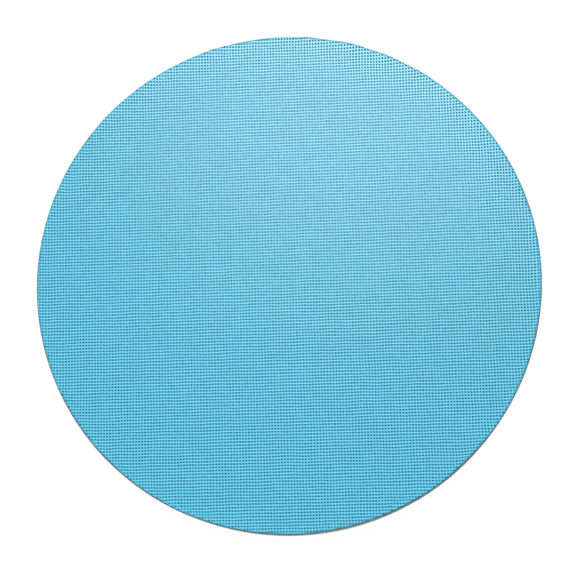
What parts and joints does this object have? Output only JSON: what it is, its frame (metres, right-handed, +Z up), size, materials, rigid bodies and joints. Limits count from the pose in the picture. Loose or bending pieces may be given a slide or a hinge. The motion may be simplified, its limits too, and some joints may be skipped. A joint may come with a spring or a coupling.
{
  "type": "pivot disc",
  "caption": "Round low turntable for standing transfers: two ribbed plates faced with grid-pitted foam grip mats turn on a caged ball ring about a centre pivot.",
  "frame": {"origin": "middle of the base mat's underside, where the disc rests on the floor", "axes": "+Z up along the pivot's axis; X and Y lie in the floor, in line with the mat's grid to within about a degree"},
  "size_m": [0.3999, 0.4, 0.0236],
  "materials": {
    "mat_foam": "matte light-blue PVC foam with a grid of small pits",
    "adhesive_film": "thin double-sided adhesive film",
    "plate_plastic": "satin moulded blue-grey polypropylene",
    "race_steel": "pressed zinc-plated steel",
    "screw_steel": "zinc-plated",
    "ball_steel": "polished bearing steel",
    "nylon": "natural nylon",
    "pivot_steel": "zinc-plated, turned"
  },
  "bodies": {
    "base": {"base_plate": "plate_plastic", "base_mat_film": "adhesive_film", "base_grip_mat": "mat_foam", "lower_race": "race_steel", "lower_race_screws": "screw_steel", "pivot_barrel": "pivot_steel", "pivot_screw": "pivot_steel", "retaining_washer": "pivot_steel", "thrust_washer": "nylon"},
    "turntable": {"top_plate": "plate_plastic", "top_mat_film": "adhesive_film", "top_grip_mat": "mat_foam", "upper_race": "race_steel", "upper_race_screws": "screw_steel", "pivot_bush": "nylon"},
    "ball_ring": {"bearing_balls": "ball_steel", "cage_segment_1": "nylon", "cage_segment_2": "nylon", "cage_segment_3": "nylon", "cage_segment_4": "nylon", "cage_segment_5": "nylon", "cage_segment_6": "nylon"}
  },
  "joints": [
    {"name": "disc_turn", "type": "hinge", "parent": "base", "child": "turntable", "pos_m": [0, 0, 0.0118], "axis": [0, 0, 1], "continuous": true},
    {"name": "ball_ring_turn", "type": "hinge", "parent": "base", "child": "ball_ring", "pos_m": [0, 0, 0.0118], "axis": [0, 0, 1], "continuous": true}
  ],
  "couplings": [
    {"joint": "ball_ring_turn", "follows": "disc_turn", "ratio": 0.5}
  ]
}
